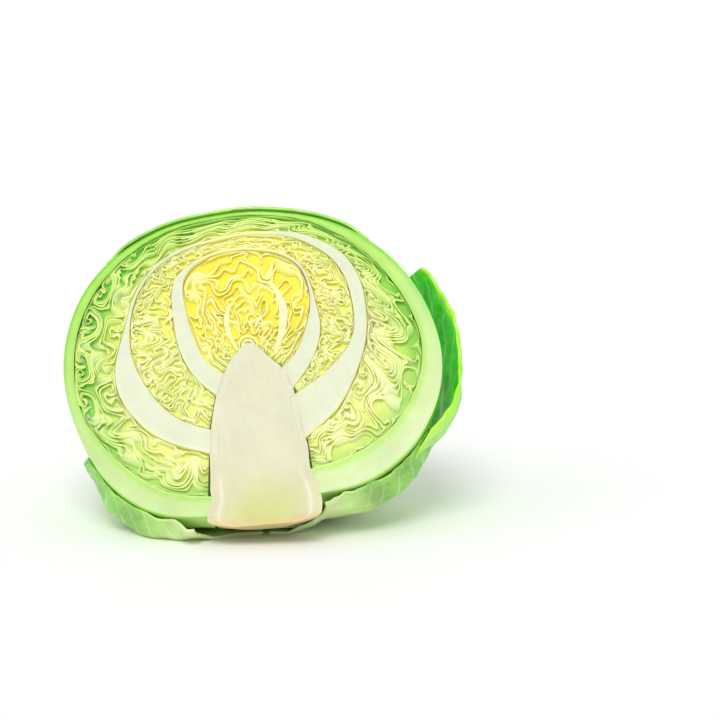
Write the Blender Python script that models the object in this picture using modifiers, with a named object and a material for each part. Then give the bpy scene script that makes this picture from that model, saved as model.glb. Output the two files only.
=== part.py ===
"""Half of a round white cabbage head, cut lengthwise through its stalk.

The cut face leans back and looks towards -Y. The outer leaves carry the weight on a flattened
patch at z = 0. Lengths here are in millimetres in the plane of the cut: x to the right, s up
along the stalk, d into the head. The function world() turns them into metres with +Z up.
"""

import math

import bmesh
import bpy
import numpy as np

SEED = 11
LEAN = math.radians(38.0)  # how far the cut face leans back from upright
ROLL = math.radians(5.65)  # the head lies turned this far in the plane of its cut face
FLOOR = 81.0  # the middle of the cut face stands this high above the surface
SHIFT_X = -5.047
SHIFT_Y = -18.369
HEAD_DEPTH = 86.0  # from the cut face to the back of the head
MIDDLE = np.array([0.0, 3.0])

BLADE = 1.3  # thickness of the outer blades
OVERLAY = 2.7  # each leaf that lies over another is this much further out
LAYERS_OUT = 2.0 * OVERLAY  # how far out the outermost pair lies
NODE_GAP = 0.3  # least room between a cut midrib and the leaves beside it
SHELL_GAP = 0.006  # angle kept free at each end of the two leaves cut along their ribs
SHELL_REACH = 74.0  # how far round the back those two reach from the cut, in degrees
SHELL_LIFT = 0.6  # they stay this much above the leaves below them
RIB_DEPTH = 9.0  # how deep a cut midrib reaches before it thins to its blade
BACK_RIB, LOW_RIB, LOOSE_RIB = 2.2, 1.6, 1.4  # height of the midribs of the uncut leaves

# The leaf over the back: its root and tip directions, arc in degrees, and half of its width in
# degrees at the root, at its widest and at the cut.
BACK_ROOT, BACK_TIP, BACK_ARC = (0.03, -0.93, 0.36), (0.0, 0.0, 1.0), 158.8
BACK_HALF = (17.0, 67.0, 47.0)
BACK_PLAY = 0.45  # it stands this much off the leaves below it

# The two leaves below: how far each turns round the stalk, and how far up it comes, in degrees.
LOW_TURN_MIDDLE, LOW_TURN_HALF = 45.3, 41.8
LOW_START, LOW_END, LOW_END_CUT, LOW_END_BACK = 21.0, 84.0, 22.0, 5.0
LOW_FLARE, LOW_WAVE = 1.6, 1.0  # how far their rims stand out, and how deeply they are waved

# The loose leaf: its root and tip directions, arc in degrees, and how far it stands out.
LOOSE_ROOT, LOOSE_TIP, LOOSE_ARC = (0.72, -0.56, 0.42), (0.90, 0.25, 0.36), 66.0
LOOSE_BEHIND = 30.0  # half of its width away from the cut, in degrees
LOOSE_SETBACK = 5.0  # it ends this many degrees behind the plane of the cut
LOOSE_FLARE, LOOSE_WAVE, LOOSE_LOW = 8.0, 1.3, 2.0

POCKET = 13.0  # depth of the gaps between the folded leaves
STUB = 0.8  # a leaf that ends before the cut still stands this far out of the core
BUNCH_END = 0.004  # share of its line that a bunch leaves free beside the stalk
END_SLOPE = 0.03  # share of its line over which a leaf comes up to the cut
CLEAR = 1.1  # a fold keeps this far from the rib beside it
CLEAR_SHARE = 0.35  # or this share of the room where the room is narrow
WAVES = 5  # waves that together make the folds of one band
DEPTH_TURN = 0.06  # how fast the waves shift with depth, in radians for each mm
ROOTED = 9.0  # the folds grow over this length from the stalk

# Lines in the cut face, each from the left side of the stalk over the top to its right side.
BUD_LEFT = [(-6.2, 9.6), (-6.4, 13.5), (-4.4, 16.6), (-1.6, 17.8)]
BUD_RIGHT = [(-1.6, 17.8), (1.4, 16.6), (3.6, 13.5), (4.0, 9.8)]
HEART_IN_LEFT = [(-14.5, -3.8), (-23.8, 5.7), (-29.1, 21.6), (-31.7, 37.1), (-32.0, 50.0)]
HEART_IN_LEFT += [(-25.5, 59.5), (-14.0, 64.5), (-1.0, 66.0)]
HEART_IN_RIGHT = [(-1.0, 66.0), (15.0, 63.0), (26.5, 55.0), (31.0, 43.0), (31.2, 30.0)]
HEART_IN_RIGHT += [(27.6, 17.5), (22.6, 6.0), (15.5, -1.6)]
HEART_OUT_LEFT = [(-18.9, -14.7), (-28.6, -4.7), (-35.8, 11.5), (-38.0, 28.6), (-38.0, 46.0)]
HEART_OUT_LEFT += [(-34.0, 54.5), (-26.4, 60.7), (-14.3, 65.7), (-1.0, 67.1)]
HEART_OUT_RIGHT = [(-1.0, 67.1), (15.5, 64.1), (27.5, 55.9), (32.3, 43.2), (34.3, 31.0)]
HEART_OUT_RIGHT += [(35.8, 20.0), (33.7, 9.0), (28.4, -2.3), (19.7, -13.9)]
MIDDLE_IN_LEFT = [(-22.8, -33.5), (-35.4, -28.4), (-45.6, -19.7), (-53.9, -6.6), (-59.6, 8.0)]
MIDDLE_IN_LEFT += [(-60.5, 25.0), (-56.5, 43.0), (-46.5, 58.0), (-30.0, 68.5), (0.0, 74.6)]
MIDDLE_IN_RIGHT = [(0.0, 74.6), (22.0, 71.8), (36.0, 64.6), (46.0, 54.5), (51.0, 42.0)]
MIDDLE_IN_RIGHT += [(53.0, 26.0), (51.6, 12.5), (44.0, 0.5), (32.5, -9.5), (21.0, -17.0)]
MIDDLE_OUT_LEFT = [(-23.4, -46.5), (-43.3, -39.3), (-56.5, -28.9), (-66.2, -14.7), (-69.3, 0.0)]
MIDDLE_OUT_LEFT += [(-67.0, 13.0), (-62.6, 26.5), (-57.7, 43.6), (-47.4, 59.0), (-30.6, 69.7)]
MIDDLE_OUT_LEFT += [(0.0, 75.8)]
MIDDLE_OUT_RIGHT = [(0.0, 75.8), (23.0, 74.0), (38.8, 67.8), (51.0, 58.0), (57.5, 44.0)]
MIDDLE_OUT_RIGHT += [(59.4, 26.0), (57.6, 8.0), (50.0, -12.0), (40.5, -28.0), (23.8, -42.0)]
SHELL_IN_LEFT = [(-24.7, -70.1), (-42.1, -67.6), (-56.5, -60.0), (-71.5, -44.8), (-81.2, -31.5)]
SHELL_IN_LEFT += [(-88.0, -15.5), (-89.4, 0.0), (-88.8, 15.3), (-85.6, 31.0), (-78.0, 46.5)]
SHELL_IN_LEFT += [(-66.9, 60.9), (-50.2, 73.8), (-30.2, 82.1), (2.5, 86.1)]
SHELL_IN_RIGHT = [(2.5, 86.1), (29.6, 80.9), (45.4, 72.3), (59.2, 60.8), (70.5, 46.5)]
SHELL_IN_RIGHT += [(79.0, 31.0), (84.4, 15.0), (85.9, -1.0), (82.6, -14.5), (75.6, -30.0)]
SHELL_IN_RIGHT += [(63.7, -43.6), (46.0, -54.0), (24.4, -59.5)]
SHELL_OUT_LEFT = [(-27.6, -80.6), (-42.5, -79.5), (-58.5, -73.6), (-76.9, -56.1), (-89.1, -29.0)]
SHELL_OUT_LEFT += [(-94.6, -4.1), (-93.3, 20.0), (-85.3, 43.8), (-71.8, 62.2), (-53.0, 75.3)]
SHELL_OUT_LEFT += [(-32.2, 83.8), (2.7, 87.9)]
SHELL_OUT_RIGHT = [(2.7, 87.9), (31.8, 82.8), (53.2, 73.2), (72.0, 57.6), (85.5, 36.8)]
SHELL_OUT_RIGHT += [(94.0, 10.8), (94.8, -11.6), (88.6, -33.4), (74.0, -54.3), (52.5, -68.9)]
SHELL_OUT_RIGHT += [(29.5, -72.9)]

# The stalk from its tip down: height s, left edge and right edge in the cut face.
STALK = [(12.5, -3.0, 0.8), (9.0, -5.6, 4.0), (3.0, -10.6, 9.0), (-3.0, -13.6, 14.4)]
STALK += [(-14.5, -18.2, 19.0), (-33.5, -22.2, 21.8), (-47.0, -22.8, 23.2), (-60.0, -23.2, 23.8)]
STALK += [(-72.0, -24.4, 28.4), (-80.5, -26.9, 28.8), (-84.6, -25.5, 26.5), (-87.4, -15.0, 16.0)]
STALK_BACK = 0.82  # depth of the stalk against half of its width

COLOURS = {
    "stalk": (0.90, 0.84, 0.62),
    "outer_leaf": (0.55, 0.78, 0.36),
    "wrapper_leaf": (0.24, 0.55, 0.12),
    "loose_leaf": (0.10, 0.48, 0.03),
    "rib_leaf": (0.86, 0.90, 0.66),
    "green_leaves": (0.48, 0.76, 0.24),
    "middle_leaves": (0.80, 0.85, 0.42),
    "heart_leaves": (0.88, 0.80, 0.25),
}


def clear_scene():
    for obj in list(bpy.data.objects):
        bpy.data.objects.remove(obj, do_unlink=True)


def world(x, s, d):
    """Millimetres in the cut face, x across and s up the stalk, and d into the head."""
    across = x * math.cos(ROLL) - s * math.sin(ROLL)
    up = x * math.sin(ROLL) + s * math.cos(ROLL)
    y = up * math.sin(LEAN) + d * math.cos(LEAN) + SHIFT_Y
    z = up * math.cos(LEAN) - d * math.sin(LEAN) + FLOOR
    return np.stack([across + SHIFT_X, y, z], axis=-1)


def depth_of(points):
    return (points[..., 1] - SHIFT_Y) * math.cos(LEAN) - (points[..., 2] - FLOOR) * math.sin(LEAN)


def smooth_half(points, count):
    """Evenly spaced points on a smooth curve through the given ones."""
    given = np.array(points, float)
    padded = np.vstack([2 * given[0] - given[1], given, 2 * given[-1] - given[-2]])
    found = []
    for k in range(len(given) - 1):
        p0, p1, p2, p3 = padded[k : k + 4]
        for t in np.linspace(0, 1, 12, endpoint=False):
            cubic = 2 * p1 + (p2 - p0) * t + (2 * p0 - 5 * p1 + 4 * p2 - p3) * t**2
            found.append(0.5 * (cubic + (3 * p1 - p0 - 3 * p2 + p3) * t**3))
    found = np.array(found + [given[-1]])
    along = np.concatenate([[0], np.cumsum(np.linalg.norm(np.diff(found, axis=0), axis=1))])
    even = np.linspace(0, along[-1], count)
    return np.stack([np.interp(even, along, found[:, 0]), np.interp(even, along, found[:, 1])], -1)


def line_over(left, right):
    """A line as 201 points: the first half up the left side, the second down the right side."""
    return np.vstack([smooth_half(left, 101), smooth_half(right, 101)[1:]])


def on_line(line, u):
    spots = np.linspace(0, 1, len(line))
    return np.stack([np.interp(u, spots, line[:, 0]), np.interp(u, spots, line[:, 1])], -1)


def smoothstep(t):
    t = np.clip(t, 0, 1)
    return t * t * (3 - 2 * t)


def material(name, colour):
    made = bpy.data.materials.new(name)
    made.use_nodes = True
    shader = made.node_tree.nodes["Principled BSDF"]
    shader.inputs["Base Color"].default_value = (*colour, 1)
    shader.inputs["Roughness"].default_value = 0.5
    made.diffuse_color = (*colour, 1)
    return made


def sheet_grid(places):
    """A grid whose points lie at the given places, with the row and column of each point."""
    across, along = places.shape[0] - 1, places.shape[1] - 1
    grid = bmesh.new()
    bmesh.ops.create_grid(grid, x_segments=across, y_segments=along, size=1)
    cells = []
    for vert in grid.verts:
        i = round((vert.co.x + 1) / 2 * across)
        j = round((vert.co.y + 1) / 2 * along)
        vert.co = places[i, j] * 0.001
        cells.append((i, j))
    return grid, cells


def object_of(name, shape, collection):
    mesh = bpy.data.meshes.new(name)
    shape.to_mesh(mesh)
    shape.free()
    obj = bpy.data.objects.new(name, mesh)
    collection.objects.link(obj)
    return obj


def blade(name, places, thickness, collection):
    """A sheet through the grid of places, thickened evenly to both sides and turned into a mesh."""
    grid, cells = sheet_grid(places)
    bmesh.ops.triangulate(grid, faces=grid.faces, quad_method="SHORT_EDGE")
    obj = object_of(name, grid, collection)
    group = obj.vertex_groups.new(name="thickness")
    most = thickness.max()
    for index, cell in enumerate(cells):
        group.add([index], thickness[cell] / most, "REPLACE")
    solid = obj.modifiers.new("Solidify", "SOLIDIFY")
    solid.thickness = most * 0.001
    solid.offset = 0
    solid.vertex_group = "thickness"
    bake(obj)
    return obj


def tube(name, lines, collection):
    """A closed body whose cross-sections are loops: one line of places for each corner of them."""
    shape, _ = sheet_grid(np.stack(lines + lines[:1], axis=1))
    bmesh.ops.remove_doubles(shape, verts=shape.verts, dist=1e-7)
    bmesh.ops.holes_fill(shape, edges=shape.edges, sides=0)
    bmesh.ops.triangulate(shape, faces=shape.faces, quad_method="FIXED")
    bmesh.ops.recalc_face_normals(shape, faces=shape.faces)
    if shape.calc_volume(signed=True) < 0:
        bmesh.ops.reverse_faces(shape, faces=shape.faces)
    return object_of(name, shape, collection)


def bake(obj):
    """The object's modifiers are applied, and its faces turned outwards."""
    graph = bpy.context.evaluated_depsgraph_get()
    made = bpy.data.meshes.new_from_object(obj.evaluated_get(graph))
    obj.modifiers.clear()
    old = obj.data
    obj.data = made
    bpy.data.meshes.remove(old)
    shape = bmesh.new()
    shape.from_mesh(made)
    bmesh.ops.recalc_face_normals(shape, faces=shape.faces)
    shape.to_mesh(made)
    shape.free()


def flatten_cut(obj, reach=0.6):
    """Points close to the plane of the cut are laid exactly in it."""
    for vert in obj.data.vertices:
        point = np.array(vert.co) * 1000
        depth = depth_of(point)
        if depth < reach:
            point[1] -= depth * math.cos(LEAN)
            point[2] += depth * math.sin(LEAN)
            vert.co = point * 0.001


class Band:
    """The room between two lines of the cut face, which folded leaves fill."""

    def __init__(self, inside, outside, gap, length, wave, swing, seed):
        self.inside, self.outside = inside, outside
        self.gap, self.length = gap, length
        rng = np.random.default_rng(seed)
        size = 2 * math.pi / (wave * rng.uniform(0.7, 1.5, WAVES))
        turn = rng.uniform(-0.5, 0.5, WAVES)
        self.wave_a = size * np.sin(turn)
        self.wave_b = size * np.cos(turn)
        self.high = swing * rng.uniform(0.6, 1.0, WAVES)
        self.phase = rng.uniform(0, 2 * math.pi, WAVES)
        self.turn = rng.uniform(-1, 1, WAVES) * DEPTH_TURN

    def waved(self, fraction, u, d):
        """The fraction of the room at which a leaf lies; its waves keep the leaves in order."""
        a, b = fraction * self.gap, u * self.length
        waves = 0
        for k in range(WAVES):
            waves = waves + self.high[k] * np.sin(
                self.wave_a[k] * a + self.wave_b[k] * b + self.phase[k] + self.turn[k] * d
            )
        free = math.sin(math.pi * fraction) ** 0.7 if 0 < fraction < 1 else 0
        rooted = smoothstep(b / ROOTED) * smoothstep((self.length - b) / ROOTED)
        return fraction + waves * free * rooted / self.gap

    def place(self, fraction, u):
        low, high = on_line(self.inside, u), on_line(self.outside, u)
        across = high - low
        wide = np.linalg.norm(across, axis=-1, keepdims=True)
        keep = np.minimum(CLEAR, CLEAR_SHARE * wide)
        share = np.clip(np.asarray(fraction), 0, 1)[..., None]
        return low + across / wide * (keep + share * (wide - 2 * keep))


def bunch(name, band, walls, columns, backs, collection):
    """Folded leaves of one colour that stand out of their dense inside, as one closed body.

    Each wall is its place between the two lines of the band, half of its share of the room, and
    the part of the way round over which it reaches the cut.
    """
    u = np.linspace(BUNCH_END, 1 - BUNCH_END, columns + 1)
    rows = [(0.0, POCKET + 0 * u)]
    for middle, half, start, end in walls:
        rising = smoothstep((u - start) / END_SLOPE + 0.5)
        falling = smoothstep((end - u) / END_SLOPE + 0.5)
        top = (POCKET - STUB) * (1 - rising * falling)
        rows += [(middle - half, POCKET + 0 * u), (middle - half, top)]
        rows += [(middle + half, top), (middle + half, POCKET + 0 * u)]
    rows += [(1.0, POCKET + 0 * u), (1.0, backs[1] + 0 * u), (0.0, backs[0] + 0 * u)]
    lines = []
    for fraction, depth in rows:
        spot = band.place(band.waved(fraction, u, depth), u)
        lines.append(world(spot[:, 0], spot[:, 1], depth))
    return tube(name, lines, collection)


def outline_of(line):
    """Distance from the middle of the cut face to a line round it, for each direction."""
    edge = line - MIDDLE
    angle = np.unwrap(np.arctan2(edge[:, 1], edge[:, 0]))
    size = np.linalg.norm(edge, axis=1)
    order = np.argsort(angle)
    return angle[order], size[order]


def reach_of(outline, turn):
    angle, size = outline
    turn = angle[0] + np.mod(turn - angle[0], 2 * math.pi)
    return np.interp(turn, angle, size, period=2 * math.pi)


OUTLINE = outline_of(line_over(SHELL_OUT_LEFT, SHELL_OUT_RIGHT))
INLINE = outline_of(line_over(SHELL_IN_LEFT, SHELL_IN_RIGHT))


def on_head(way, out):
    """The point of the head's surface in a direction (x, s, d), moved outwards."""
    radius = reach_of(OUTLINE, np.arctan2(way[..., 1], way[..., 0]))
    flat = np.hypot(way[..., 0], way[..., 1])
    reach = 1 / np.sqrt((flat / radius) ** 2 + (way[..., 2] / HEAD_DEPTH) ** 2) + out
    x = MIDDLE[0] + way[..., 0] * reach
    s = MIDDLE[1] + way[..., 1] * reach
    return world(x, s, way[..., 2] * reach)


def unit(v):
    v = np.asarray(v, float)
    return v / np.linalg.norm(v)


RIB_ROWS = [0, 0.12, 0.24, 0.36, 0.45, 0.5, 0.55, 0.64, 0.76, 0.88, 1]


def leaf_directions(root, tip, arc, side_low, side_high, columns, shares):
    """Directions over a leaf: columns run along the midrib's arc, rows across it."""
    start = unit(root)
    normal = unit(np.cross(start, unit(tip)))
    ahead = np.cross(normal, start)
    b = np.linspace(0, 1, columns + 1)
    along = math.radians(arc) * b
    spine = np.cos(along)[:, None] * start + np.sin(along)[:, None] * ahead
    low, high = np.radians(side_low(b, spine))[:, None], np.radians(side_high(b, spine))[:, None]
    share = np.array(shares, float)[None, :] * 2 - 1
    side = np.where(share < 0, low * share, high * share)
    way = np.cos(side)[..., None] * spine[:, None, :] + np.sin(side)[..., None] * normal
    return way, b[:, None] + 0 * side, share + 0 * side


def midrib(b, share, high):
    """Extra thickness along the middle of a leaf, highest at its root."""
    return high * (1 - 0.75 * b) * np.clip(1 - np.abs(share) / 0.1, 0, 1)


def rest_on_floor(places, lift):
    places = places.copy()
    places[..., 2] = np.maximum(places[..., 2], lift)
    return places


def shell_leaf(name, left, collection):
    """An outer leaf cut along its thick midrib, which runs round one side of the cut face."""
    sign = -1 if left else 1
    root = (SHELL_OUT_LEFT[0] if left else SHELL_OUT_RIGHT[-1]) - MIDDLE
    top = np.array(SHELL_OUT_LEFT[-1]) - MIDDLE
    start = math.atan2(root[1], root[0]) + sign * SHELL_GAP
    arc = (sign * (math.atan2(top[1], top[0]) - start)) % (2 * math.pi) - SHELL_GAP
    turns = start + sign * arc * np.linspace(0, 1, 23)[:, None]
    sides = np.radians(SHELL_REACH * np.array([0, 0.043, 0.092, 0.155, 0.27, 0.43, 0.61, 0.81, 1]))
    way = [np.cos(turns) * np.cos(sides), np.sin(turns) * np.cos(sides), np.sin(sides) + 0 * turns]
    way = np.stack(way, axis=-1)
    rib = reach_of(OUTLINE, turns) - reach_of(INLINE, turns) - NODE_GAP
    taper = np.exp(-((np.sin(sides) * HEAD_DEPTH / RIB_DEPTH) ** 2))
    thick = BLADE + np.maximum(rib - BLADE, 0) * taper
    outer = rest_on_floor(on_head(way, 0 * thick), LAYERS_OUT + SHELL_LIFT)
    inner = rest_on_floor(on_head(way, -thick), LAYERS_OUT + SHELL_LIFT + 1.6 * BLADE)
    lines = [outer[:, k] for k in range(len(sides))]
    lines += [inner[:, k] for k in reversed(range(len(sides)))]
    return tube(name, lines, collection)


def back_leaf(name, collection):
    """The leaf over the back of the head, cut where it folds over the top."""

    def half_wide(b, spine):
        root, widest, cut = BACK_HALF
        opening, closing = smoothstep(b / 0.42), smoothstep((b - 0.72) / 0.28)
        return root + (widest - root) * opening + (cut - widest) * closing

    way, b, share = leaf_directions(
        BACK_ROOT, BACK_TIP, BACK_ARC, half_wide, half_wide, 18, RIB_ROWS
    )
    way[-1, :, 2] = 0
    rim = smoothstep((np.abs(share) - 0.7) / 0.3)
    free = rim * smoothstep((b - 0.5) / 0.2)
    thick = BLADE * (1 - 0.3 * rim) + midrib(b, share, BACK_RIB)
    swell = 0.25 * np.sin(14 * b + 3 * share) * np.sin(7 * share + 2) * b * (1 - b)
    out = OVERLAY - BLADE + BACK_PLAY + thick / 2 + swell + 0.5 * free * np.sin(17 * b)
    places = rest_on_floor(on_head(way, out), LAYERS_OUT - OVERLAY + thick / 2)
    obj = blade(name, places, thick, collection)
    flatten_cut(obj)
    return obj


def low_leaf(name, sign, collection):
    """An outermost leaf of one side, waved along its rim and flattened by the weight on it."""
    b = np.linspace(0, 1, 16)[:, None]
    cut_side = np.array(RIB_ROWS, float)[None, :] * 2 - 1
    turn = np.radians(LOW_TURN_MIDDLE - LOW_TURN_HALF * cut_side)
    end = LOW_END - LOW_END_CUT * smoothstep(cut_side) - LOW_END_BACK * smoothstep(-cut_side)
    fall, turn = np.radians(LOW_START + (end - LOW_START) * b), turn + 0 * b
    way = [sign * np.sin(fall) * np.cos(turn), -np.cos(fall), np.sin(fall) * np.sin(turn)]
    way = np.stack(way, axis=-1)
    b, cut_side = b + 0 * turn, cut_side + 0 * turn
    rim = np.maximum(smoothstep((b - 0.55) / 0.45), smoothstep((cut_side - 0.2) / 0.8))
    wave = np.sin(21 * b + 2 * cut_side + sign) + 0.6 * np.sin(13 * b - 4 * cut_side + 2)
    corner = smoothstep((b - 0.6) / 0.4) * smoothstep((cut_side - 0.2) / 0.8)
    flare = rim * (LOW_FLARE + LOW_WAVE * wave) * (1 - 0.85 * corner)
    thick = BLADE + midrib(b, cut_side, LOW_RIB) * smoothstep((b - 0.55) / 0.2)
    places = on_head(way, 2 * OVERLAY - BLADE + thick / 2 + flare)
    obj = blade(name, rest_on_floor(places, thick / 2), thick, collection)
    flatten_cut(obj)
    return obj


def loose_leaf(name, collection):
    """A leaf that has come loose and stands away from the right side."""

    def front(b, spine):
        room = np.degrees(np.arcsin(spine[:, 2])) - LOOSE_SETBACK
        return room * np.sqrt(np.sin(np.pi * (0.12 + 0.80 * b)))

    def behind(b, spine):
        return LOOSE_BEHIND * np.sqrt(np.sin(np.pi * (0.14 + 0.80 * b)))

    way, b, share = leaf_directions(
        LOOSE_ROOT, LOOSE_TIP, LOOSE_ARC, behind, front, 14, RIB_ROWS
    )
    flare = smoothstep((share + 0.5) / 1.5) * np.sin(np.pi * (0.14 + 0.76 * b))
    wave = np.sin(19 * b + 2) + 0.7 * np.sin(31 * b + 2.5 * share)
    thick = BLADE + midrib(b, share, LOOSE_RIB)
    out = 3 * OVERLAY + 0.6 + thick / 2 + LOOSE_FLARE * flare
    places = on_head(way, out + wave * (0.3 + LOOSE_WAVE * smoothstep(share)))
    return blade(name, rest_on_floor(places, LOOSE_LOW), thick, collection)


def rib_leaf(name, inside, outside, u_root, u_tip, collection):
    """A leaf cut through its rib: a thick band at the root that thins to a blade."""
    u = np.linspace(u_root, u_tip, 17)
    low, high = on_line(inside, u), on_line(outside, u)
    middle, half = (low + high) / 2, (high - low) / 2
    wide = np.linalg.norm(half, axis=1, keepdims=True)
    half = half * (1 - NODE_GAP / wide)
    section = [(0.0, 1.0), (RIB_DEPTH * 0.6, 0.85), (RIB_DEPTH, 0.55), (POCKET, 0.3)]
    lines = []
    for side, steps in ((1, section), (-1, section[::-1])):
        for depth, share in steps:
            share = np.maximum(share, np.minimum(1.0, 0.6 / wide))
            spot = middle + side * half * share
            lines.append(world(spot[:, 0], spot[:, 1], depth))
    return tube(name, lines, collection)


def stalk(collection):
    """The stalk, a tapering round body cut in half; its bottom is the cut end of the stem."""
    steps = np.array(STALK)
    middle, half = (steps[:, 1] + steps[:, 2]) / 2, (steps[:, 2] - steps[:, 1]) / 2
    lines = []
    for turn in np.linspace(0, math.pi, 10):
        lines.append(
            world(middle + half * math.cos(turn), steps[:, 0], STALK_BACK * half * math.sin(turn))
        )
    return tube("stalk", lines, collection)


def build():
    clear_scene()
    head = bpy.data.collections.new("halved cabbage head")
    bpy.context.scene.collection.children.link(head)
    bud = line_over(BUD_LEFT, BUD_RIGHT)
    heart_in = line_over(HEART_IN_LEFT, HEART_IN_RIGHT)
    heart_out = line_over(HEART_OUT_LEFT, HEART_OUT_RIGHT)
    middle_in = line_over(MIDDLE_IN_LEFT, MIDDLE_IN_RIGHT)
    middle_out = line_over(MIDDLE_OUT_LEFT, MIDDLE_OUT_RIGHT)
    shell_in = line_over(SHELL_IN_LEFT, SHELL_IN_RIGHT)

    nodes = [(stalk(head), "stalk")]
    nodes.append((shell_leaf("outer_leaf_left", True, head), "outer_leaf"))
    nodes.append((shell_leaf("outer_leaf_right", False, head), "outer_leaf"))
    nodes.append((back_leaf("wrapper_leaf_back", head), "wrapper_leaf"))
    nodes.append((low_leaf("wrapper_leaf_left", -1, head), "wrapper_leaf"))
    nodes.append((low_leaf("wrapper_leaf_right", 1, head), "wrapper_leaf"))
    nodes.append((loose_leaf("loose_leaf_right", head), "loose_leaf"))
    ribs = [
        ("rib_leaf_heart_left", heart_in, heart_out, 0.003, 0.498),
        ("rib_leaf_heart_right", heart_in, heart_out, 0.997, 0.502),
        ("rib_leaf_middle_left", middle_in, middle_out, 0.002, 0.4985),
        ("rib_leaf_middle_right", middle_in, middle_out, 0.998, 0.5015),
    ]
    for name, inside, outside, root, tip in ribs:
        nodes.append((rib_leaf(name, inside, outside, root, tip, head), "rib_leaf"))

    green = Band(middle_out, shell_in, 19.0, 400.0, 20.0, 0.9, SEED)
    walls = [(0.10, 0.05, 0.0, 1.0), (0.30, 0.045, 0.0, 0.45), (0.50, 0.045, 0.0, 1.0)]
    walls += [(0.70, 0.045, 0.0, 1.0), (0.90, 0.05, 0.0, 1.0)]
    made = bunch("green_leaves", green, walls, 76, (30.0, 15.0), head)
    nodes.append((made, "green_leaves"))

    middle = Band(heart_out, middle_in, 21.0, 260.0, 14.0, 0.9, SEED + 1)
    walls = [(0.09, 0.045, 0.0, 1.0), (0.26, 0.04, 0.0, 0.40), (0.43, 0.045, 0.0, 1.0)]
    walls += [(0.60, 0.045, 0.0, 1.0), (0.77, 0.04, 0.0, 0.41), (0.92, 0.045, 0.0, 1.0)]
    made = bunch("middle_leaves", middle, walls, 62, (43.0, 32.0), head)
    nodes.append((made, "middle_leaves"))

    heart = Band(bud, heart_in, 36.0, 110.0, 18.0, 1.3, SEED + 2)
    walls = [(0.045, 0.02, 0.0, 1.0), (0.16, 0.022, 0.0, 1.0), (0.29, 0.022, 0.0, 1.0)]
    walls += [(0.42, 0.022, 0.0, 1.0), (0.55, 0.022, 0.0, 1.0), (0.68, 0.022, 0.0, 1.0)]
    walls += [(0.81, 0.022, 0.0, 1.0), (0.94, 0.022, 0.0, 1.0)]
    made = bunch("heart_leaves", heart, walls, 40, (56.0, 46.0), head)
    nodes.append((made, "heart_leaves"))

    made = {name: material(name, colour) for name, colour in COLOURS.items()}
    for obj, colour in nodes:
        obj.data.materials.clear()
        obj.data.materials.append(made[colour])
        obj.data.shade_smooth()
        obj.data.set_sharp_from_angle(angle=math.radians(40))


build()
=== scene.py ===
"""The front half of a white cabbage that was cut lengthwise, standing on the leaves below it."""

import math

import bmesh
import bpy
import numpy as np
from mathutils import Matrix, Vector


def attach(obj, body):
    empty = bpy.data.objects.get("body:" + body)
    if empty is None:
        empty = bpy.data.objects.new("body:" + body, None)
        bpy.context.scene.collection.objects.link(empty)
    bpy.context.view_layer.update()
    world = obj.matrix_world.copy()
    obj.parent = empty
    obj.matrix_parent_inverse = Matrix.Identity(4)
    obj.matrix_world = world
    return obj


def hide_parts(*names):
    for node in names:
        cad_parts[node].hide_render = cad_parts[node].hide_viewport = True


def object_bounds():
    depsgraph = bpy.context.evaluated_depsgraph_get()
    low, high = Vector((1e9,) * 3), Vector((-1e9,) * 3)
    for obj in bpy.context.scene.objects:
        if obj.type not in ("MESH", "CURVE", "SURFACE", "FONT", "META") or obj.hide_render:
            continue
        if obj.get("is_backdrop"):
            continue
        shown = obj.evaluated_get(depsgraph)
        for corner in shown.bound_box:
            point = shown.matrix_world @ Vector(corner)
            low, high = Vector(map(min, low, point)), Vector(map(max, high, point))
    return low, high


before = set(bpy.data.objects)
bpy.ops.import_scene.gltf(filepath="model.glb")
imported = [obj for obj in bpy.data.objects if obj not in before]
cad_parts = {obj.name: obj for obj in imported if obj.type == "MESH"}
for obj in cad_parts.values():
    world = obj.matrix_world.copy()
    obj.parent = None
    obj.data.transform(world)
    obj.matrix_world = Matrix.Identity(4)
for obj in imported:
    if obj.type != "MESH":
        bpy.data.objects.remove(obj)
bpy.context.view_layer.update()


# The solid stem that carries every leaf, cut in half lengthwise with the head.
# Firm cream-coloured flesh; its lower end is the old cut of the harvest knife.

LEAN = math.radians(38.0)  # how far the cut face leans back from upright
ROLL = math.radians(5.65)  # the head lies turned this far in the plane of its cut face
FLOOR, SHIFT_X, SHIFT_Y = 81.0, -5.047, -18.369  # where the middle of the cut face stands, in mm

# Height up the stalk, left edge and right edge in the cut face.
STALK = [(12.5, -3.0, 0.8), (9.0, -5.6, 4.0), (3.0, -10.6, 9.0), (-3.0, -13.6, 14.4)]
STALK += [(-14.5, -18.2, 19.0), (-33.5, -22.2, 21.8), (-47.0, -22.8, 23.2), (-60.0, -23.2, 23.8)]
STALK += [(-72.0, -24.4, 28.4), (-80.5, -26.9, 28.8), (-84.6, -25.5, 26.5), (-87.4, -15.0, 16.0)]
STALK_BACK = 0.82  # depth of the stalk against half of its width
END_RISE = 0.25  # how much the cut end rises for each mm of depth behind the cut face
FACE_SUNK = 0.06  # the cut face of the stalk lies this deep, so that the ribs run into it

CREAM, BEIGE, SAP_GREEN = (0.68, 0.675, 0.50), (0.66, 0.59, 0.36), (0.55, 0.59, 0.15)
CUT_END, FIBRE = (0.68, 0.48, 0.20), (0.80, 0.80, 0.66)


def placed(x, s, d):
    """Metres in the scene: x across the cut face, s up the stalk and d into the head, in mm."""
    across = x * math.cos(ROLL) - s * math.sin(ROLL)
    up = x * math.sin(ROLL) + s * math.cos(ROLL)
    y = up * math.sin(LEAN) + d * math.cos(LEAN) + SHIFT_Y
    z = up * math.cos(LEAN) - d * math.sin(LEAN) + FLOOR
    return np.stack([across + SHIFT_X, y, z], axis=-1) * 0.001


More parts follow.
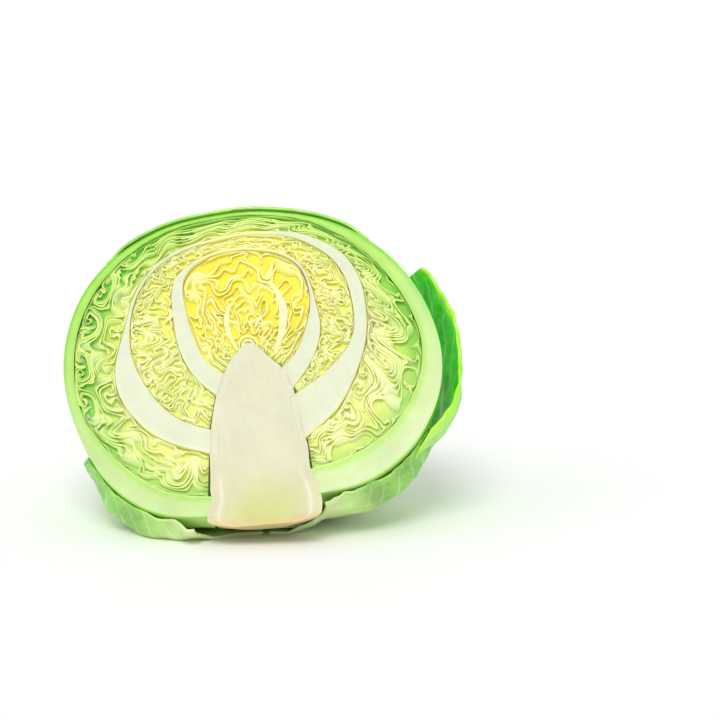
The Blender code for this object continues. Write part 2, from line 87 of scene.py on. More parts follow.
def eased(t):
    """A smooth step from 0 to 1."""
    t = np.clip(t, 0, 1)
    return t * t * (3 - 2 * t)


def mixed(low, high, share):
    """A colour between two colours, for each point."""
    share = np.asarray(share)[..., None]
    return np.asarray(low, float) * (1 - share) + np.asarray(high, float) * share


def through(points, count):
    """Evenly spaced points on a smooth curve through the given ones."""
    given = np.array(points, float)
    padded = np.vstack([2 * given[0] - given[1], given, 2 * given[-1] - given[-2]])
    found = []
    for k in range(len(given) - 1):
        p0, p1, p2, p3 = padded[k : k + 4]
        for t in np.linspace(0, 1, 12, endpoint=False):
            cubic = 2 * p1 + (p2 - p0) * t + (2 * p0 - 5 * p1 + 4 * p2 - p3) * t**2
            found.append(0.5 * (cubic + (3 * p1 - p0 - 3 * p2 + p3) * t**3))
    found = np.array(found + [given[-1]])
    along = np.concatenate([[0], np.cumsum(np.linalg.norm(np.diff(found, axis=0), axis=1))])
    even = np.linspace(0, along[-1], count)
    return np.stack([np.interp(even, along, found[:, k]) for k in range(given.shape[1])], -1)


def ripple(places, wave, seed, count=7):
    """Smooth unevenness from about -1 to 1, with bumps of about the given width."""
    rng = np.random.default_rng(seed)
    total = 0
    for _ in range(count):
        way = rng.normal(size=places.shape[-1])
        way *= 2 * math.pi / (wave * rng.uniform(0.7, 1.5)) / np.linalg.norm(way)
        total = total + np.sin(places @ way + rng.uniform(0, 2 * math.pi))
    return total / math.sqrt(count * 1.6)


def grown(name, sheets, tints, closed):
    """One mesh from grids of places, each with its colours; closed ones are welded and capped."""
    body = bmesh.new()
    for places in sheets:
        across, along = places.shape[0] - 1, places.shape[1] - 1
        bmesh.ops.create_grid(body, x_segments=across, y_segments=along, size=1)
    mesh = bpy.data.meshes.new(name)
    body.to_mesh(mesh)
    body.free()
    flat = np.empty(len(mesh.vertices) * 3)
    mesh.vertices.foreach_get("co", flat)
    flat = flat.reshape(-1, 3)
    colours = np.ones((len(flat), 4))
    first = 0
    for places, tint in zip(sheets, tints):
        rows, columns = places.shape[:2]
        part = slice(first, first + rows * columns)
        i = np.rint((flat[part, 0] + 1) / 2 * (rows - 1)).astype(int)
        j = np.rint((flat[part, 1] + 1) / 2 * (columns - 1)).astype(int)
        flat[part] = places[i, j]
        colours[part, :3] = tint[i, j]
        first += rows * columns
    mesh.vertices.foreach_set("co", flat.ravel())
    layer = mesh.attributes.new("tint", "FLOAT_COLOR", "POINT")
    layer.data.foreach_set("color", colours.astype(np.float32).ravel())
    body = bmesh.new()
    body.from_mesh(mesh)
    if closed:
        bmesh.ops.remove_doubles(body, verts=body.verts, dist=1e-7)
        bmesh.ops.holes_fill(body, edges=body.edges, sides=0)
        bmesh.ops.recalc_face_normals(body, faces=body.faces)
        if body.calc_volume(signed=True) < 0:
            bmesh.ops.reverse_faces(body, faces=body.faces)
    for face in body.faces:
        face.smooth = True
    body.to_mesh(mesh)
    body.free()
    if closed:
        mesh.set_sharp_from_angle(angle=math.radians(75))
    piece = bpy.data.objects.new(name, mesh)
    bpy.context.scene.collection.objects.link(piece)
    return piece


def flesh(name, mottle, mottle_size, grain, grain_size, gloss, glow, painted_light=0.0):
    """Plant flesh with a mottled tint, a fine grain and an uneven moist gloss.

    Light spreads in it by its glow; its emission, in its own colour, is painted light that stands
    in for what comes through a thin leaf."""
    finish = bpy.data.materials.new(name)
    finish.use_nodes = True
    nodes, links = finish.node_tree.nodes, finish.node_tree.links
    shader = nodes["Principled BSDF"]
    shader.inputs["Subsurface Weight"].default_value = glow
    shader.inputs["Subsurface Radius"].default_value = (0.9, 1.0, 0.35)
    shader.inputs["Subsurface Scale"].default_value = 0.0025
    shader.inputs["Specular IOR Level"].default_value = 0.25
    tint = nodes.new("ShaderNodeAttribute")
    tint.attribute_name = "tint"
    place = nodes.new("ShaderNodeTexCoord")
    patches = nodes.new("ShaderNodeTexNoise")
    patches.inputs["Scale"].default_value = mottle_size
    patches.inputs["Detail"].default_value = 4.0
    links.new(place.outputs["Object"], patches.inputs["Vector"])
    shade = nodes.new("ShaderNodeMapRange")
    shade.inputs["From Min"].default_value = 0.3
    shade.inputs["From Max"].default_value = 0.7
    shade.inputs["To Min"].default_value = 1.0 - mottle
    shade.inputs["To Max"].default_value = 1.0 + mottle
    links.new(patches.outputs["Fac"], shade.inputs["Value"])
    blend = nodes.new("ShaderNodeVectorMath")
    blend.operation = "SCALE"
    links.new(tint.outputs["Color"], blend.inputs[0])
    links.new(shade.outputs["Result"], blend.inputs["Scale"])
    links.new(blend.outputs["Vector"], shader.inputs["Base Color"])
    # Emission in the flesh's own colour: painted light, standing in for light that comes through a
    # thin leaf.
    links.new(blend.outputs["Vector"], shader.inputs["Emission Color"])
    shader.inputs["Emission Strength"].default_value = painted_light
    fibre = nodes.new("ShaderNodeTexNoise")
    fibre.inputs["Scale"].default_value = grain_size
    fibre.inputs["Detail"].default_value = 6.0
    links.new(place.outputs["Object"], fibre.inputs["Vector"])
    bump = nodes.new("ShaderNodeBump")
    bump.inputs["Strength"].default_value = grain
    bump.inputs["Distance"].default_value = 0.0006
    links.new(fibre.outputs["Fac"], bump.inputs["Height"])
    links.new(bump.outputs["Normal"], shader.inputs["Normal"])
    moist = nodes.new("ShaderNodeMapRange")
    moist.inputs["To Min"].default_value = gloss - 0.12
    moist.inputs["To Max"].default_value = gloss + 0.12
    links.new(fibre.outputs["Fac"], moist.inputs["Value"])
    links.new(moist.outputs["Result"], shader.inputs["Roughness"])
    return finish


def settle(piece, finish, *nodes):
    """The piece gets its finish and takes the place of its parts of the solid model."""
    piece.data.materials.append(finish)
    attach(piece, "root")
    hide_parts(*nodes)


profile = through(STALK, 110)
height, middle = profile[:, 0], (profile[:, 1] + profile[:, 2]) / 2
half = (profile[:, 2] - profile[:, 1]) / 2 + 0.5
# The stalk is a little wider between the roots of the middle ribs and the outer leaves.
half = half + 0.9 * eased((-height - 40) / 6) * eased((height + 72) / 6)
turn = np.linspace(0, math.pi, 40)[:, None]
face = np.linspace(1, -1, 41)[1:-1][:, None]
x = np.vstack([middle + half * np.cos(turn), middle - half * face])
s = np.vstack([height + 0 * turn, height + 0 * face])
d = np.vstack([STALK_BACK * half * np.sin(turn), FACE_SUNK + 0 * face * half])
x, s, d = (np.vstack([part, part[:1]]) for part in (x, s, d))
knobs = ripple(np.stack([x, s, d], -1), 9.0, 3)
d = np.maximum(d + 0.25 * knobs * eased(d / 2) + 0.015 * knobs * (d < 1), 0.04)
side = np.abs(x - middle) / half
s = s + END_RISE * np.maximum(d, 0) * eased((-s - 70) / 15)
low = eased((-s - 48) / 36)
paint = mixed(CREAM, BEIGE, 0.55 * eased((side - 0.35) / 0.65) * eased((-s - 38) / 30))
paint = mixed(paint, CREAM, 0.5 * eased((side - 0.93) / 0.07))
streaks = ripple(np.stack([x, 0.12 * s], -1), 3.2, 8)
paint = mixed(paint, BEIGE, 0.26 * eased(0.5 + 0.5 * streaks))
paint = mixed(paint, SAP_GREEN, 0.75 * low * eased(1.15 - side))
fibres = np.exp(-(((side - 0.80) / 0.04) ** 2)) * eased((-s - 54) / 12)
paint = mixed(paint, FIBRE, 0.6 * fibres)
paint = mixed(paint, CUT_END, (0.30 + 0.35 * (side > 0.5)) * eased((-s - 81.5) / 4))
stalk = grown("fine_stalk", [placed(x, s, d)], [paint], True)
settle(stalk, flesh("stalk flesh", 0.04, 60.0, 0.2, 900.0, 0.42, 0.3), "stalk")


# The midribs of four inner leaves, cut along their length by the knife.
# Thick and white at the stalk, they thin to a blade where the pair meets over the heart.

BUD_LEFT = [(-6.2, 9.6), (-6.4, 13.5), (-4.4, 16.6), (-1.6, 17.8)]
BUD_RIGHT = [(-1.6, 17.8), (1.4, 16.6), (3.6, 13.5), (4.0, 9.8)]
HEART_IN_LEFT = [(-14.5, -3.8), (-23.8, 5.7), (-29.1, 21.6), (-31.7, 37.1), (-32.0, 50.0)]
HEART_IN_LEFT += [(-25.5, 59.5), (-14.0, 64.5), (-1.0, 66.0)]
HEART_IN_RIGHT = [(-1.0, 66.0), (15.0, 63.0), (26.5, 55.0), (31.0, 43.0), (31.2, 30.0)]
HEART_IN_RIGHT += [(27.6, 17.5), (22.6, 6.0), (15.5, -1.6)]
HEART_OUT_LEFT = [(-18.9, -14.7), (-28.6, -4.7), (-35.8, 11.5), (-38.0, 28.6), (-38.0, 46.0)]
HEART_OUT_LEFT += [(-34.0, 54.5), (-26.4, 60.7), (-14.3, 65.7), (-1.0, 67.1)]
HEART_OUT_RIGHT = [(-1.0, 67.1), (15.5, 64.1), (27.5, 55.9), (32.3, 43.2), (34.3, 31.0)]
HEART_OUT_RIGHT += [(35.8, 20.0), (33.7, 9.0), (28.4, -2.3), (19.7, -13.9)]
MIDDLE_IN_LEFT = [(-22.8, -33.5), (-35.4, -28.4), (-45.6, -19.7), (-53.9, -6.6), (-59.6, 8.0)]
MIDDLE_IN_LEFT += [(-60.5, 25.0), (-56.5, 43.0), (-46.5, 58.0), (-30.0, 68.5), (0.0, 74.6)]
MIDDLE_IN_RIGHT = [(0.0, 74.6), (22.0, 71.8), (36.0, 64.6), (46.0, 54.5), (51.0, 42.0)]
MIDDLE_IN_RIGHT += [(53.0, 26.0), (51.6, 12.5), (44.0, 0.5), (32.5, -9.5), (21.0, -17.0)]
MIDDLE_OUT_LEFT = [(-23.4, -46.5), (-43.3, -39.3), (-56.5, -28.9), (-66.2, -14.7), (-69.3, 0.0)]
MIDDLE_OUT_LEFT += [(-67.0, 13.0), (-62.6, 26.5), (-57.7, 43.6), (-47.4, 59.0), (-30.6, 69.7)]
MIDDLE_OUT_LEFT += [(0.0, 75.8)]
MIDDLE_OUT_RIGHT = [(0.0, 75.8), (23.0, 74.0), (38.8, 67.8), (51.0, 58.0), (57.5, 44.0)]
MIDDLE_OUT_RIGHT += [(59.4, 26.0), (57.6, 8.0), (50.0, -12.0), (40.5, -28.0), (23.8, -42.0)]
SHELL_IN_LEFT = [(-24.7, -70.1), (-42.1, -67.6), (-56.5, -60.0), (-71.5, -44.8), (-81.2, -31.5)]
SHELL_IN_LEFT += [(-88.0, -15.5), (-89.4, 0.0), (-88.8, 15.3), (-85.6, 31.0), (-78.0, 46.5)]
SHELL_IN_LEFT += [(-66.9, 60.9), (-50.2, 73.8), (-30.2, 82.1), (2.5, 86.1)]
SHELL_IN_RIGHT = [(2.5, 86.1), (29.6, 80.9), (45.4, 72.3), (59.2, 60.8), (70.5, 46.5)]
SHELL_IN_RIGHT += [(79.0, 31.0), (84.4, 15.0), (85.9, -1.0), (82.6, -14.5), (75.6, -30.0)]
SHELL_IN_RIGHT += [(63.7, -43.6), (46.0, -54.0), (24.4, -59.5)]
SHELL_OUT_LEFT = [(-27.6, -80.6), (-42.5, -79.5), (-58.5, -73.6), (-76.9, -56.1), (-89.1, -29.0)]
SHELL_OUT_LEFT += [(-94.6, -4.1), (-93.3, 20.0), (-85.3, 43.8), (-71.8, 62.2), (-53.0, 75.3)]
SHELL_OUT_LEFT += [(-32.2, 83.8), (2.7, 87.9)]
SHELL_OUT_RIGHT = [(2.7, 87.9), (31.8, 82.8), (53.2, 73.2), (72.0, 57.6), (85.5, 36.8)]
SHELL_OUT_RIGHT += [(94.0, 10.8), (94.8, -11.6), (88.6, -33.4), (74.0, -54.3), (52.5, -68.9)]
SHELL_OUT_RIGHT += [(29.5, -72.9)]
RIB_WHITE, RIB_SHADE, RIB_BROWN = (0.70, 0.73, 0.56), (0.64, 0.70, 0.45), (0.60, 0.40, 0.10)
ROOT_LENGTH = 7.0  # how far a rib runs on into the stalk and takes its colour
MIDDLE = np.array([0.0, 3.0])  # the middle of the cut face


def outline_of(line):
    """Distance from the middle of the cut face to a line round it, for each direction."""
    edge = line - MIDDLE
    angle = np.unwrap(np.arctan2(edge[:, 1], edge[:, 0]))
    order = np.argsort(angle)
    return angle[order], np.linalg.norm(edge, axis=1)[order]


def reach_of(outline, turn):
    """Distance from the middle to an outline in the given directions."""
    angle, size = outline
    turn = angle[0] + np.mod(turn - angle[0], 2 * math.pi)
    return np.interp(turn, angle, size, period=2 * math.pi)


def line_over(left, right):
    """A line over the head: its first half up the left side, its second down the right."""
    line = np.vstack([through(left, 201), through(right, 201)[1:]])
    window = np.hanning(33)[1:-1] / np.hanning(33).sum()
    before, after = 2 * line[0] - line[15:0:-1], 2 * line[-1] - line[-2:-17:-1]
    longer = np.vstack([before, line, after])
    return np.stack([np.convolve(longer[:, k], window, "valid") for k in (0, 1)], -1)


def on_line(line, u):
    """The spot at u along a line, from 0 at its left root to 1 at its right one."""
    spots = np.linspace(0, 1, len(line))
    return np.stack([np.interp(u, spots, line[:, 0]), np.interp(u, spots, line[:, 1])], -1)


bud = line_over(BUD_LEFT, BUD_RIGHT)
heart_in = line_over(HEART_IN_LEFT, HEART_IN_RIGHT)
heart_out = line_over(HEART_OUT_LEFT, HEART_OUT_RIGHT)
middle_in = line_over(MIDDLE_IN_LEFT, MIDDLE_IN_RIGHT)
middle_out = line_over(MIDDLE_OUT_LEFT, MIDDLE_OUT_RIGHT)
shell_in = line_over(SHELL_IN_LEFT, SHELL_IN_RIGHT)
shell_out = line_over(SHELL_OUT_LEFT, SHELL_OUT_RIGHT)
OUTLINE, INLINE = outline_of(shell_out), outline_of(shell_in)

# Colours of a leaf's rim, of its sides and of the gap below it; the gap's darker, deeper colour is
# painted shade. Each has one for the pale leaves between the ribs, one for the yellow heart and one
# for the green outer ones.
LEAF_TINTS = [
    ((0.91, 0.92, 0.42), (0.93, 0.91, 0.38), (0.64, 0.85, 0.22)),
    ((0.83, 0.86, 0.42), (0.90, 0.85, 0.27), (0.50, 0.76, 0.22)),
    ((0.74, 0.76, 0.14), (0.80, 0.70, 0.03), (0.10, 0.50, 0.01)),
]
WALL_WHITE = (0.80, 0.87, 0.52)  # the watery sides of the leaves low in the head


def leaf_paint(spot, d):
    """Pale rims, and painted shade as deeper, darker colour down in the gaps; yellow in the heart
    and green outside.
    """
    edge = spot - MIDDLE
    turn = np.arctan2(edge[..., 1], edge[..., 0])
    inside = reach_of(OUTLINE, turn) - np.linalg.norm(edge, axis=-1)
    top = np.exp(-(((turn - math.pi / 2) / 0.75) ** 2))
    green = eased(1.2 - inside / (28 - 18 * top))
    yellow = eased((50 - np.hypot(spot[..., 0], (spot[..., 1] - 40) * 1.25)) / 22)
    white = 0.7 * eased((-spot[..., 1] + 6) / 22) * (1 - 0.5 * green)
    rim, wall, shaded_gap_tint = (
        mixed(mixed(pale, heart, yellow), outer, green) for pale, heart, outer in LEAF_TINTS
    )
    wall, shaded_gap_tint = mixed(wall, WALL_WHITE, white), mixed(shaded_gap_tint, WALL_WHITE, 0.2 * white)
    paint = mixed(rim, wall, eased((d - 0.3) / 1.0))
    # Further down, the colour runs to the gap's tint, darker the deeper it lies: painted shade.
    return mixed(paint, shaded_gap_tint, eased((d - 1.2) / 3.0))


# Down a rib's side: depth in mm, share of its width there and share of its edge's colour.
RIB_SECTION = [(13.0, 0.45, 1.0), (9.0, 0.85, 1.0), (5.4, 0.97, 0.9), (2.2, 1.0, 0.8)]
RIB_SECTION += [(0.8, 1.0, 0.8), (0.3, 0.97, 0.6), (0.15, 0.90, 0.1), (0.24, 0.6, 0.0)]
RIB_SECTION += [(0.32, 0.25, 0.0)]


def cut_rib(low, high, seed, brown, stem=0.001, white=RIB_WHITE):
    """Places and colours of one rib between two lines, which runs out of the stalk over the stem.

    Brown is how much of a stain shows along its inner edge."""
    centre, reach = (low + high) / 2, (high - low) / 2
    wide = np.linalg.norm(reach, axis=1, keepdims=True)
    along = np.concatenate([[0], np.cumsum(np.linalg.norm(np.diff(centre, axis=0), axis=1))])
    root = 1 - eased((along - 0.5 * stem) / stem)
    rows, paint = [], []
    for sign in (1, -1):
        for depth, share, edge in RIB_SECTION if sign > 0 else RIB_SECTION[::-1]:
            spot = centre + sign * reach * share
            swell = ripple(spot, 7.0, seed) * 0.10
            sunk = depth + swell * (depth < 1)
            if depth < 0.5:
                sunk = sunk * (1 - root) + 0.05 * stem * eased(1 - along / 3.0)
            rows.append(placed(spot[:, 0], spot[:, 1], np.maximum(sunk, 0)))
            streak = 0.5 + 0.5 * ripple(spot, 2.2, seed + 1)
            pale = mixed(mixed(white, RIB_SHADE, 0.35 * streak), CREAM, root)
            stain = (0.8 if sign < 0 else 0.1) * brown * eased((along[-1] - along - 22) / 25)
            edged = mixed(leaf_paint(spot, 0.0), RIB_BROWN, stain)
            flat = eased((wide - 1.0) / 1.0) * (1 - edge)
            paint.append(pale * flat + edged * (1 - flat))
    rows, paint = rows + rows[:1], paint + paint[:1]
    return np.stack(rows), np.stack(paint)


def rooted(inside, outside, root, tip):
    """The two edges of a rib from its root u to its tip u, carried on a little into the stalk."""
    u = np.linspace(root, tip, 240)
    low, high = on_line(inside, u), on_line(outside, u)
    steps = np.array([6.5, 5.7, 4.9, 4.0, 2.5, 1.2])[:, None]  # mm into the stalk
    ends = []
    for line in (low, high):
        way = line[0] - line[6]
        ends.append(np.vstack([line[0] + way / np.linalg.norm(way) * steps, line]))
    return ends


rib_flesh = flesh("rib flesh", 0.03, 90.0, 0.15, 1400.0, 0.40, 0.3)
# Each rib's lines, its u at the root and at the tip, the seed of its unevenness and its brown.
RIBS = [
    ("rib_leaf_heart_left", heart_in, heart_out, 0.001, 0.4999, 21, 0.0),
    ("rib_leaf_heart_right", heart_in, heart_out, 0.999, 0.5001, 22, 1.0),
    ("rib_leaf_middle_left", middle_in, middle_out, 0.001, 0.4999, 23, 0.0),
    ("rib_leaf_middle_right", middle_in, middle_out, 0.999, 0.5001, 24, 0.35),
]
for name, inside, outside, root, tip, seed, brown in RIBS:
    places, paint = cut_rib(*rooted(inside, outside, root, tip), seed, brown, ROOT_LENGTH)
    settle(grown("fine_" + name, [places], [paint], True), rib_flesh, name)


# The tightly packed leaves between the ribs, crumpled against each other as they grew.
# Thin blades cut straight through: pale rims, with painted shade as deeper, darker colour down in
# the gaps.

CORE_DEPTH = 3.4  # how far below the cut the dense core lies
LEAF_ROOT = 4.9  # how far below the cut a blade goes, into the core
CLEAR = 0.15  # a fold keeps this far from the rib beside it
STEPS = 12  # steps in which the leaves are pushed into their folds


class Folds:
    """The room between two lines, and the crumpling of the leaves in it.

    The room is gap mm wide and length mm long once it is laid out straight. The waves are wave
    mm long, push the leaves by push and shift with depth by lean. They fade by calm over the top
    of the head, and over the first free mm beside the inside line."""

    def __init__(self, inside, outside, gap, length, wave, push, lean, calm, free, seed):
        self.inside, self.outside = inside, outside
        self.gap, self.length, self.push = gap, length, push
        self.calm, self.free = calm, free
        rng = np.random.default_rng(seed)
        count = 10
        turn = rng.uniform(-0.9, 0.9, count)
        size = 2 * math.pi / (wave * rng.uniform(0.45, 1.7, count))
        self.wave_a, self.wave_b = size * np.sin(turn), size * np.cos(turn)
        self.high = rng.uniform(0.6, 1.0, count) / size
        self.phase = rng.uniform(0, 2 * math.pi, count)
        self.turn = rng.uniform(-1, 1, count) * lean

    def stream(self, a, b, d):
        """Height of the waves at a mm across the room and b mm along it, d mm below the cut."""
        waves = 0
        for k in range(len(self.high)):
            angle = self.wave_a[k] * a + self.wave_b[k] * b + self.phase[k] + self.turn[k] * d
            waves = waves + self.high[k] * np.sin(angle)
        inside = eased(a / self.free) * eased((self.gap - a) / 2.5)
        inside = inside * (1 - self.calm * np.exp(-(((b / self.length - 0.5) / 0.11) ** 2)))
        return waves * inside * eased((b - 2) / 9) * eased((self.length - 2 - b) / 9)

    def folded(self, fraction, u, d):
        """Where the leaves lie once crumpled; neighbours never pass through each other."""
        a = np.asarray(fraction * self.gap + 0 * u, float)
        b = np.asarray(u * self.length + 0 * a, float)
        step, h = self.push / STEPS, 0.02
        for _ in range(STEPS):
            from_a, from_b = a, b
            for whole in (0.5, 1.0):
                va = (self.stream(a, b + h, d) - self.stream(a, b - h, d)) / (2 * h)
                vb = (self.stream(a - h, b, d) - self.stream(a + h, b, d)) / (2 * h)
                a, b = from_a + va * step * whole, from_b + vb * step * whole
        return a / self.gap, b / self.length

    def place(self, fraction, u, d):
        """The spot in the cut face of a leaf's point once it is crumpled."""
        return self.between(*self.folded(fraction, u, d))

    def between(self, share, v):
        """The spot in the cut face at a share of the way from the inside line to the outside."""
        low, high = on_line(self.inside, v), on_line(self.outside, v)
        across = high - low
        wide = np.linalg.norm(across, axis=-1, keepdims=True)
        keep = np.minimum(CLEAR, 0.3 * wide)
        share = np.clip(share, 0, 1)[..., None]
        return low + across / wide * (keep + share * (wide - 2 * keep))


# Rows over one leaf: depth in mm, side of the blade, and share of its thickness.
RISING = [(LEAF_ROOT, 1.0), (3.7, 1.0), (2.7, 1.0), (1.8, 1.0), (1.0, 1.0), (0.45, 1.0), (0.2, 0.6)]
BLADE_ROWS = [(depth, -1.0, full) for depth, full in RISING]
BLADE_ROWS += [(depth, 1.0, full) for depth, full in RISING[::-1]] + BLADE_ROWS[:1]
RIM_WIDE, ROOM_SHARE = 0.04, 0.36  # half of a rim's least thickness, and its share of the room
FRILL = 0.55  # how far a rim is frilled to the side at most


def folded_leaf(folds, fraction, spacing, start, end, columns, thick, seed):
    """Places and colours of one blade that stands out to the cut, from u start to u end."""
    u = np.linspace(start, end, columns)
    depth, side, full = (np.array(column)[:, None] for column in zip(*BLADE_ROWS))
    uu, dd = np.broadcast_arrays(u[None, :], depth)
    spot = folds.place(fraction, uu, dd)
    beside = folds.place(fraction + spacing, uu, dd)
    along = np.gradient(spot, axis=1)
    along /= np.linalg.norm(along, axis=-1, keepdims=True) + 1e-9
    normal = np.stack([-along[..., 1], along[..., 0]], -1)
    room = np.abs(((beside - spot) * normal).sum(-1))
    room = np.minimum(room, np.roll(room, 1, axis=1))
    mm = uu * folds.length
    place_on = np.stack([mm, 0 * uu], -1)
    stout = thick * (1 + 0.30 * ripple(place_on, 9.0, seed))
    rng = np.random.default_rng(seed)
    # Here and there the knife has cut one of the leaf's own side veins.
    for centre in rng.uniform(start, end, int(folds.length / 30)):
        stout = stout + 1.3 * np.exp(-(((u - centre) * folds.length / 1.6) ** 2))
    stout = stout * (0.35 + 0.65 * eased((u - start) / 0.01) * eased((end - u) / 0.01))
    half = np.minimum(stout / 2, ROOM_SHARE * room + RIM_WIDE) * full
    sink = 0.6 * (1 + 1.4 * ripple(np.stack([mm, 0 * uu + fraction * 90], -1), 20.0, 5))
    sink = np.clip(sink, 0, 1.8) * eased((LEAF_ROOT - dd) / 4)
    frill = np.sin(mm * 1.5 + 3 * ripple(place_on, 22.0, seed + 3))
    frill = frill * eased(ripple(place_on, 34.0, seed + 9) + 0.3) * eased(1 - dd / 3.2)
    bend = np.minimum(FRILL, 0.28 * room) * frill
    spot = spot + normal * (side * half + bend)[..., None]
    return placed(spot[..., 0], spot[..., 1], dd + sink), leaf_paint(spot, dd)


def folded_core(folds, backs, columns):
    """Places and colours of the dense mass that the blades stand out of, down to its backs."""
    u = np.linspace(0.004, 0.996, columns)
    share = np.linspace(0, 1, 13)
    rows = [(f, CORE_DEPTH + 0 * u) for f in share]
    rows += [(1.0, backs[1] + 0 * u), (0.0, backs[0] + 0 * u), rows[0]]
    places, paint = [], []
    for f, depth in rows:
        spot = folds.between(f + 0 * u, u)
        places.append(placed(spot[:, 0], spot[:, 1], depth))
        # At the core's depth this colour is mostly the gaps' painted shade.
        paint.append(leaf_paint(spot, depth))
    return np.stack(places), np.stack(paint)


def bunch(name, folds, leaves, thick, columns, backs, finish, extra=(), seed=12):
    """One bunch: leaves given as their place in the room, start and end round the head."""
    rng = np.random.default_rng(seed)
    sheets, paints = [], []
    spacing = 0.8 / len(leaves)
    for k, (fraction, start, end) in enumerate(leaves):
        count = max(30, int(columns * (end - start)))
        stout = thick * rng.uniform(0.8, 1.25)
        places, paint = folded_leaf(folds, fraction, spacing, start, end, count, stout, 50 + k)
        sheets.append(places)
        paints.append(paint)
    for places, paint in extra:
        sheets.append(places)
        paints.append(paint)
    places, paint = folded_core(folds, backs, columns // 2)
    settle(grown("fine_" + name, sheets + [places], paints + [paint], True), finish, name)


def leaf_spread(count, low, high, seed):
    """Leaves at nearly even places across the room, a few of them ending part of the way."""
    rng = np.random.default_rng(seed)
    found = []
    for k in range(count):
        fraction = low + (high - low) * (k + rng.uniform(-0.22, 0.22)) / (count - 1)
        start, end = 0.004, 0.996
        if k % 3 == 1:
            if rng.uniform() < 0.5:
                end = rng.uniform(0.30, 0.62)
            else:
                start = rng.uniform(0.38, 0.70)
        found.append((min(max(fraction, 0.02), 0.98), start, end))
    return found


# Two small ribs cut beside the bud: places down their middle, with half of their width there.
SMALL_RIB = (0.78, 0.76, 0.47)
CRESCENTS = [
    [(9.0, 46.6, 0.4), (12.6, 44.6, 0.9), (16.0, 38.5, 1.5), (17.6, 30.0, 2.1), (16.8, 21.5, 1.9)]
    + [(14.4, 12.5, 1.3), (12.0, 6.0, 0.8)],
    [(-6.5, 36.5, 0.3), (-9.6, 33.5, 0.7), (-11.3, 27.0, 1.3), (-10.6, 19.5, 1.2)]
    + [(-8.6, 13.5, 0.9), (-6.5, 9.0, 0.6)],
]


def bud_leaf(low, high, seed):
    """One of the small leaves closed over the tip of the stalk."""
    tip = np.array([-1.2, 9.0])
    return cut_rib(tip + (bud[::3] - tip) * low, tip + (bud[::3] - tip) * high, seed, 0.0)


def crescent(points, seed):
    """A small rib along the given points."""
    line = through(points, 90)
    way = np.gradient(line[:, :2], axis=0)
    way /= np.linalg.norm(way, axis=1, keepdims=True)
    reach = np.stack([-way[:, 1], way[:, 0]], -1) * line[:, 2:]
    return cut_rib(line[:, :2] - reach, line[:, :2] + reach, seed, 0.0, white=SMALL_RIB)


# A little emission in the leaf colour: painted light that brightens the gaps between the leaves.
heart_flesh = flesh("heart leaf", 0.05, 140.0, 0.14, 1500.0, 0.55, 0.5, 0.09)
heart = Folds(bud, heart_in, 36.0, 110.0, 16.0, 2.7, 0.34, 0.25, 6.0, 13)
bunch(
    "heart_leaves", heart, leaf_spread(11, 0.05, 0.97, 4), 0.5, 420, (56.0, 46.0), heart_flesh,
    [crescent(points, 71 + k) for k, points in enumerate(CRESCENTS)]
    + [bud_leaf(0.82, 0.95, 75), bud_leaf(0.56, 0.68, 76), bud_leaf(0.12, 0.42, 77)],
)

# A little emission in the leaf colour: painted light that brightens the gaps between the leaves.
middle_flesh = flesh("middle leaf", 0.05, 140.0, 0.14, 1500.0, 0.55, 0.5, 0.09)
middle_folds = Folds(heart_out, middle_in, 21.0, 260.0, 11.5, 2.1, 0.40, 0.8, 2.5, 12)
bunch(
    "middle_leaves", middle_folds, leaf_spread(9, 0.05, 0.95, 7), 0.46, 620, (43.0, 32.0),
    middle_flesh, seed=13,
)

# A little emission in the leaf colour: painted light that brightens the gaps between the leaves.
green_flesh = flesh("green leaf", 0.06, 140.0, 0.14, 1500.0, 0.55, 0.5, 0.09)
green_folds = Folds(middle_out, shell_in, 19.0, 400.0, 16.0, 2.3, 0.42, 0.8, 2.5, 11)
bunch(
    "green_leaves", green_folds, leaf_spread(9, 0.05, 0.95, 9), 0.5, 760, (30.0, 15.0),
    green_flesh,
)


# The pair of leaves that holds the head together, cut along their ribs by the knife.
# Smooth and waxy outside, pale green at the rib and greener over the sides.

HEAD_DEPTH = 86.0  # from the cut face to the back of the head
BLADE = 1.3  # thickness of the outer blades
OVERLAY = 2.7  # each leaf that lies over another is this much further out
LAYERS_OUT = 2.0 * OVERLAY  # how far out the outermost pair lies
RIB_DEPTH = 9.0  # how deep a cut midrib reaches before it thins to its blade
WRAP = 74.0  # how far round the back a blade goes, in degrees


def on_head(way, out):
    """The point of the head's surface in a direction (x, s, d), moved outwards, in mm."""
    radius = reach_of(OUTLINE, np.arctan2(way[..., 1], way[..., 0]))
    flat = np.hypot(way[..., 0], way[..., 1])
    reach = 1 / np.sqrt((flat / radius) ** 2 + (way[..., 2] / HEAD_DEPTH) ** 2) + out
    x = MIDDLE[0] + way[..., 0] * reach
    s = MIDDLE[1] + way[..., 1] * reach
    return placed(x, s, way[..., 2] * reach) * 1000


def settled(places, lift):
    """Places in metres, with what would lie below the surface laid on it."""
    places = places.copy()
    places[..., 2] = np.maximum(places[..., 2], lift)
    return places * 0.001


# Colours of the cut rib at its root and over the top: inner edge, middle and outer edge.
SHELL_ROOT = ((0.44, 0.72, 0.12), (0.62, 0.75, 0.37), (0.65, 0.76, 0.45))
SHELL_TOP = ((0.40, 0.72, 0.12), (0.46, 0.74, 0.15), (0.18, 0.60, 0.02))
LEFT_GREENER = (0.86, 0.94, 0.76)  # the left rib is cut nearer to its green skin


